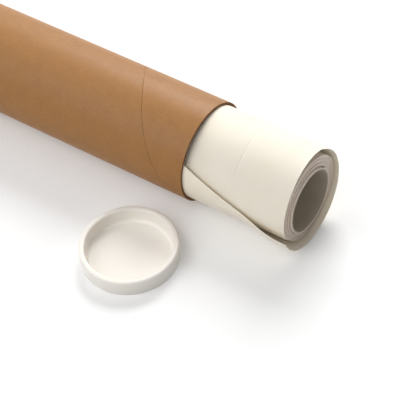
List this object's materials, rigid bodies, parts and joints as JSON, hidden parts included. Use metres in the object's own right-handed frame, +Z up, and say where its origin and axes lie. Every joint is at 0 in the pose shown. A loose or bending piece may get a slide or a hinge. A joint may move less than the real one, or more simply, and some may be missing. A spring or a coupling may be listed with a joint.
{
  "type": "drawing tube",
  "caption": "Spiral-wound board tube on its side, a roll of drawings sliding from its mouth, one push-in plug in its far end and one lying open beside it.",
  "frame": {"origin": "on the floor, in the middle of the box round the tube, its drawings and the plug beside it", "axes": "+X along the tube towards its mouth, +Y from the loose plug towards the tube, +Z up"},
  "size_m": [0.7355, 0.1668, 0.0802],
  "materials": {
    "kraft_wrap": "kraft paper, matt with faint fibres",
    "core_board": "grey-brown recycled board",
    "white_plastic": "moulded, satin",
    "drawing_paper": "uncoated cream drawing paper"
  },
  "bodies": {
    "tube": {"liner_ply": "core_board", "body_ply_1": "core_board", "body_ply_2": "core_board", "body_ply_3": "core_board", "outer_wrap": "kraft_wrap"},
    "rear_plug": {"rear_plug": "white_plastic"},
    "front_plug": {"front_plug": "white_plastic"},
    "loose_sheet": {"loose_sheet": "drawing_paper"},
    "drawings": {"drawing_1": "drawing_paper", "drawing_2": "drawing_paper", "drawing_3": "drawing_paper", "drawing_4": "drawing_paper", "drawing_5": "drawing_paper", "drawing_6": "drawing_paper", "drawing_7": "drawing_paper", "drawing_8": "drawing_paper", "inner_drawing_1": "drawing_paper", "inner_drawing_2": "drawing_paper"}
  },
  "joints": [
    {"name": "drawings_slide", "type": "slide", "parent": "tube", "child": "drawings", "axis": [1, 0, 0], "range_m": [-0.103, 0.52]},
    {"name": "loose_sheet_slide", "type": "slide", "parent": "tube", "child": "loose_sheet", "axis": [1, 0, 0], "range_m": [-0.05, 0.52]},
    {"name": "rear_plug_pull", "type": "slide", "parent": "tube", "child": "rear_plug", "axis": [-1, 0, 0], "range_m": [0, 0.03]},
    {"name": "front_plug_lift", "type": "slide", "parent": "tube", "child": "front_plug", "axis": [0, 0, 1], "range_m": [0, 0.1]}
  ]
}
